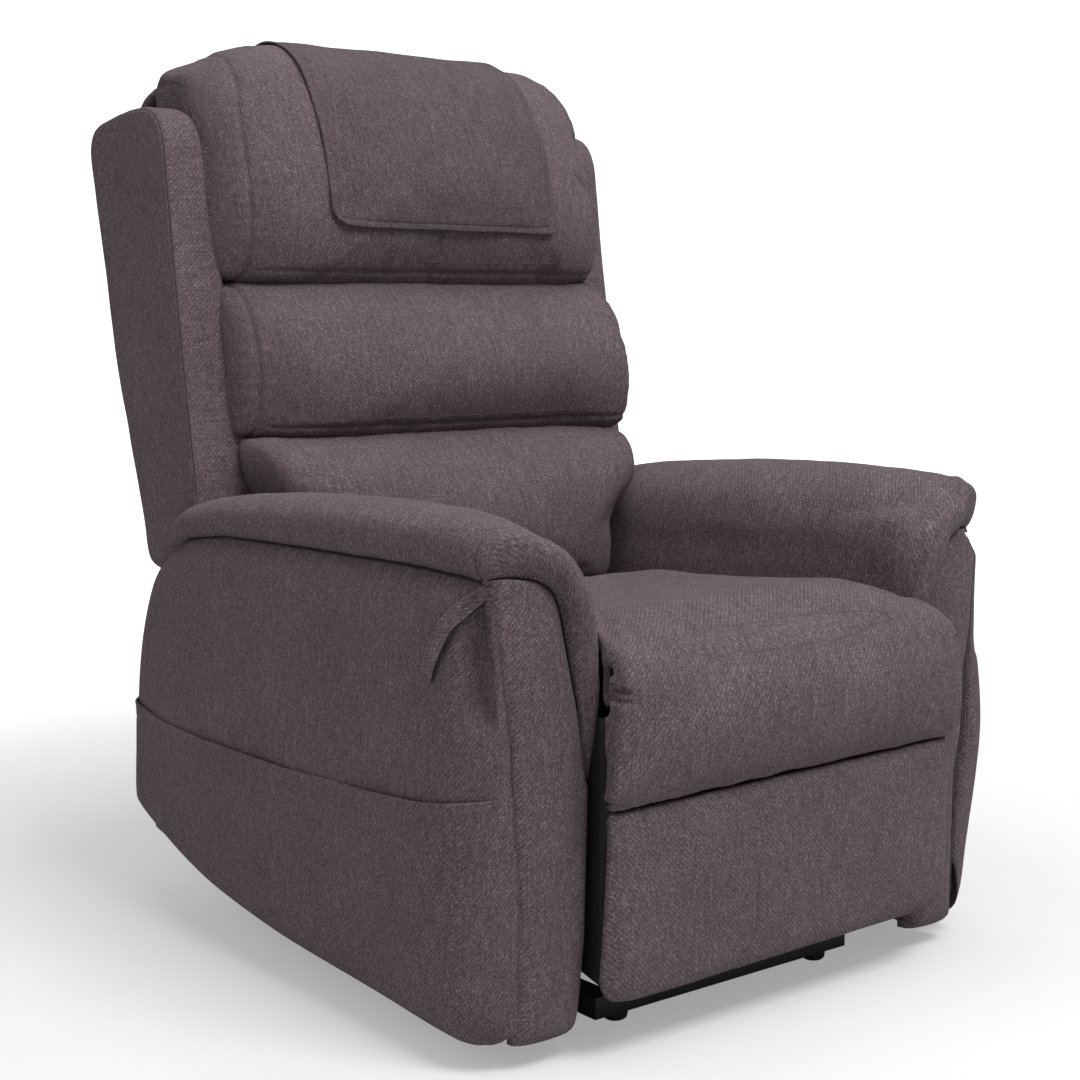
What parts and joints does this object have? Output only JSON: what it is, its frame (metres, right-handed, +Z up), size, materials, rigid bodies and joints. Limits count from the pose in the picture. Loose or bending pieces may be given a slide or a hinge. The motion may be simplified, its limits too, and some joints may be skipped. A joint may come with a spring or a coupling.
{
  "type": "lift recliner chair",
  "caption": "Upholstered riser recliner armchair with winged waterfall back, padded arms, side pocket, headrest cover, fold-out leg rest and a steel lift base.",
  "frame": {"origin": "on the floor at the centre of the chair's bounding box, at rest", "axes": "+Z up; the chair faces -Y; the sitter's right arm is at -X"},
  "size_m": [0.824, 0.996, 1.1596],
  "materials": {
    "fabric": "woven melange upholstery, matt",
    "lining": "black dust cover, matt",
    "steel": "black powder coat, satin",
    "zinc": "zinc plated",
    "rod": "bright",
    "timber": "bare plywood",
    "plastic": "moulded, fine texture",
    "rubber": "matt",
    "keys": "soft touch"
  },
  "bodies": {
    "base": {"base_frame": "steel", "base_foot_front_left": "rubber", "base_foot_front_right": "rubber", "base_foot_rear_left": "rubber", "base_foot_rear_right": "rubber", "power_supply": "plastic"},
    "lift": {"lift_frame": "steel"},
    "guide": {"guide_link_left": "zinc", "guide_link_right": "zinc"},
    "chair": {"chassis_plate_left": "steel", "chassis_plate_right": "steel", "seat_frame": "timber", "seat_spring_1": "zinc", "seat_spring_2": "zinc", "seat_spring_3": "zinc", "control_box": "plastic", "rear_panel": "lining", "arm_frame_left": "timber", "arm_frame_right": "timber", "arm_front_left": "fabric", "arm_front_right": "fabric", "arm_pad_left": "fabric", "arm_pad_right": "fabric", "arm_side_left": "fabric", "arm_side_right": "fabric", "side_pocket": "fabric", "cloth_loop": "fabric", "arm_glide_front_left": "plastic", "arm_glide_front_right": "plastic", "arm_glide_rear_left": "plastic", "arm_glide_rear_right": "plastic", "seat_cushion": "fabric", "handset_case": "plastic"},
    "back": {"back_frame": "timber", "back_hinge_frame": "steel", "back_shell": "fabric", "wing_left": "fabric", "wing_right": "fabric", "lumbar_cushion": "fabric", "middle_cushion": "fabric", "head_cushion": "fabric", "headrest_cover": "fabric"},
    "legrest": {"legrest_board": "timber", "legrest_upper_pad": "fabric", "legrest_lower_pad": "fabric"},
    "leg_upper": {"legrest_torque_tube": "steel"},
    "leg_lower": {"legrest_link_left": "zinc", "legrest_link_right": "zinc"},
    "lift_motor": {"lift_housing": "plastic"},
    "lift_rod": {"lift_rod": "rod"},
    "leg_motor": {"leg_housing": "plastic"},
    "leg_rod": {"leg_rod": "rod"},
    "back_motor": {"back_housing": "plastic"},
    "back_rod": {"back_rod": "rod"},
    "key_rise": {"handset_key_rise": "keys"},
    "key_lower": {"handset_key_lower": "keys"},
    "key_recline": {"handset_key_recline": "keys"},
    "key_upright": {"handset_key_upright": "keys"}
  },
  "joints": [
    {"name": "lift_rise", "type": "hinge", "parent": "base", "child": "lift", "pos_m": [0, -0.288, 0.07], "axis": [1, 0, 0], "range_deg": [0, 48]},
    {"name": "chassis_tilt", "type": "hinge", "parent": "lift", "child": "chair", "pos_m": [0, 0.072, 0.095], "axis": [1, 0, 0], "range_deg": [-22.38, 0]},
    {"name": "guide_swing", "type": "hinge", "parent": "base", "child": "guide", "pos_m": [0, -0.328, 0.08], "axis": [1, 0, 0], "range_deg": [0, 47.11]},
    {"name": "lift_motor_pivot", "type": "hinge", "parent": "base", "child": "lift_motor", "pos_m": [0, 0.232, 0.075], "axis": [1, 0, 0], "range_deg": [-15.02, 0]},
    {"name": "lift_rod_stroke", "type": "slide", "parent": "lift_motor", "child": "lift_rod", "axis": [0, -0.984, 0.178], "range_m": [0, 0.1555]},
    {"name": "back_recline", "type": "hinge", "parent": "chair", "child": "back", "pos_m": [0, 0.157, 0.4], "axis": [-1, 0, 0], "range_deg": [0, 40]},
    {"name": "back_motor_pivot", "type": "hinge", "parent": "chair", "child": "back_motor", "pos_m": [0.09, -0.243, 0.215], "axis": [1, 0, 0], "range_deg": [0, 5.18]},
    {"name": "back_rod_stroke", "type": "slide", "parent": "back_motor", "child": "back_rod", "axis": [0, 0.9915, 0.1298], "range_m": [-0.085, 0]},
    {"name": "legrest_extend", "type": "hinge", "parent": "chair", "child": "legrest", "pos_m": [0, -0.483, 0.452], "axis": [-1, 0, 0], "range_deg": [0, 85]},
    {"name": "legrest_upper_link", "type": "hinge", "parent": "chair", "child": "leg_upper", "pos_m": [0, -0.338, 0.29], "axis": [1, 0, 0], "range_deg": [-84.89, 0]},
    {"name": "legrest_lower_link", "type": "hinge", "parent": "leg_upper", "child": "leg_lower", "pos_m": [0, -0.293, 0.137], "axis": [1, 0, 0], "range_deg": [0, 84.05]},
    {"name": "leg_motor_pivot", "type": "hinge", "parent": "chair", "child": "leg_motor", "pos_m": [-0.09, 0.052, 0.22], "axis": [1, 0, 0], "range_deg": [-5.33, 0]},
    {"name": "leg_rod_stroke", "type": "slide", "parent": "leg_motor", "child": "leg_rod", "axis": [0, -1, 0.0081], "range_m": [0, 0.0879]},
    {"name": "press_rise", "type": "slide", "parent": "chair", "child": "key_rise", "axis": [1, 0, 0], "range_m": [0, 0.0015], "stiffness_N_per_m": 400},
    {"name": "press_lower", "type": "slide", "parent": "chair", "child": "key_lower", "axis": [1, 0, 0], "range_m": [0, 0.0015], "stiffness_N_per_m": 400},
    {"name": "press_recline", "type": "slide", "parent": "chair", "child": "key_recline", "axis": [1, 0, 0], "range_m": [0, 0.0015], "stiffness_N_per_m": 400},
    {"name": "press_upright", "type": "slide", "parent": "chair", "child": "key_upright", "axis": [1, 0, 0], "range_m": [0, 0.0015], "stiffness_N_per_m": 400}
  ],
  "couplings": [
    {"joint": "chassis_tilt", "follows": "lift_rise", "ratio": -0.46},
    {"joint": "guide_swing", "follows": "lift_rise", "ratio": 0.97518},
    {"joint": "lift_motor_pivot", "follows": "lift_rise", "ratio": -0.3067},
    {"joint": "lift_rod_stroke", "follows": "lift_rise", "m_per_rad": 0.18437},
    {"joint": "back_motor_pivot", "follows": "back_recline", "ratio": 0.12191},
    {"joint": "back_rod_stroke", "follows": "back_recline", "m_per_rad": -0.1203},
    {"joint": "legrest_upper_link", "follows": "legrest_extend", "ratio": -0.9952},
    {"joint": "legrest_lower_link", "follows": "legrest_extend", "ratio": 0.98532},
    {"joint": "leg_motor_pivot", "follows": "legrest_extend", "ratio": -0.05921},
    {"joint": "leg_rod_stroke", "follows": "legrest_extend", "m_per_rad": 0.05858}
  ]
}
